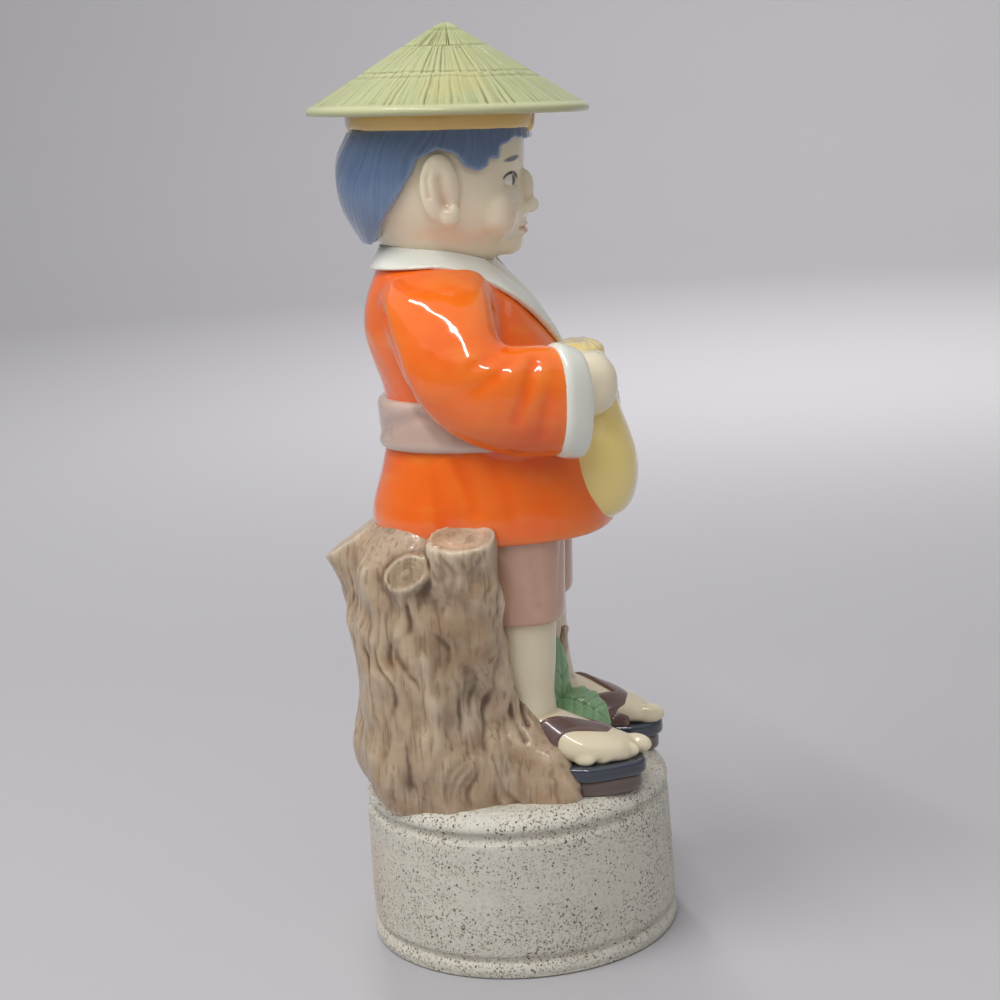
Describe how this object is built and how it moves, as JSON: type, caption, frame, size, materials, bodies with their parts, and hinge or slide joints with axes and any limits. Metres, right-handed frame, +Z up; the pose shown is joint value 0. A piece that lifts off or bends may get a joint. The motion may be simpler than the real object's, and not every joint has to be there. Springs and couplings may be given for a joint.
{
  "type": "figural liquor decanter",
  "caption": "Glazed ceramic decanter shaped as a farm boy with a sack, leaning on a tree stump on a round plinth, with a straw hat that lifts off as the stopper.",
  "frame": {"origin": "middle of the flat underside of the plinth", "axes": "+Z up, the figure faces -Y, its right hand is on the -X side"},
  "size_m": [0.105, 0.1116, 0.3035],
  "materials": {
    "speckled_stoneware": "satin glaze with dark specks",
    "felt": "pressed felt",
    "bark_glaze": "brown wash under satin glaze",
    "leaf_glaze": "green gloss glaze",
    "skin_glaze": "cream glaze, satin",
    "tread_glaze": "brown glaze",
    "sole_glaze": "dark blue gloss glaze",
    "strap_glaze": "brown glaze",
    "shorts_glaze": "dusty pink glaze",
    "jacket_glaze": "orange gloss glaze",
    "sash_glaze": "mauve grey gloss glaze",
    "white_glaze": "white gloss glaze",
    "sack_glaze": "pale yellow gloss glaze",
    "hair_glaze": "slate blue gloss glaze",
    "band_glaze": "tan gloss glaze",
    "straw_glaze": "pale straw gloss glaze",
    "cork": "natural cork"
  },
  "bodies": {
    "decanter": {"base_drum": "speckled_stoneware", "base_felt_pad": "felt", "tree_stump": "bark_glaze", "rear_branch_stub": "bark_glaze", "side_branch_stub": "bark_glaze", "cut_knot": "bark_glaze", "leaf_stem": "bark_glaze", "back_leaves": "leaf_glaze", "front_leaves": "leaf_glaze", "head": "skin_glaze", "right_ear": "skin_glaze", "left_ear": "skin_glaze", "chest": "skin_glaze", "right_hand": "skin_glaze", "left_hand": "skin_glaze", "right_leg": "skin_glaze", "left_leg": "skin_glaze", "right_sandal_tread": "tread_glaze", "left_sandal_tread": "tread_glaze", "right_sandal_sole": "sole_glaze", "left_sandal_sole": "sole_glaze", "right_sandal_strap": "strap_glaze", "left_sandal_strap": "strap_glaze", "right_shorts_leg": "shorts_glaze", "left_shorts_leg": "shorts_glaze", "jacket": "jacket_glaze", "right_sleeve": "jacket_glaze", "left_sleeve": "jacket_glaze", "sash": "sash_glaze", "collar": "white_glaze", "right_cuff": "white_glaze", "left_cuff": "white_glaze", "sack": "sack_glaze", "hair": "hair_glaze", "crown_band": "band_glaze"},
    "stopper_cork": {"cork_sleeve": "cork"},
    "hat_stopper": {"hat": "straw_glaze"}
  },
  "joints": [
    {"name": "stopper_lift", "type": "slide", "parent": "decanter", "child": "stopper_cork", "axis": [0, -0.0471, 0.9989], "range_m": [0, 0.05]},
    {"name": "hat_turn", "type": "hinge", "parent": "stopper_cork", "child": "hat_stopper", "pos_m": [0, 0.0076, 0.2752], "axis": [0, -0.0471, 0.9989], "continuous": true}
  ]
}
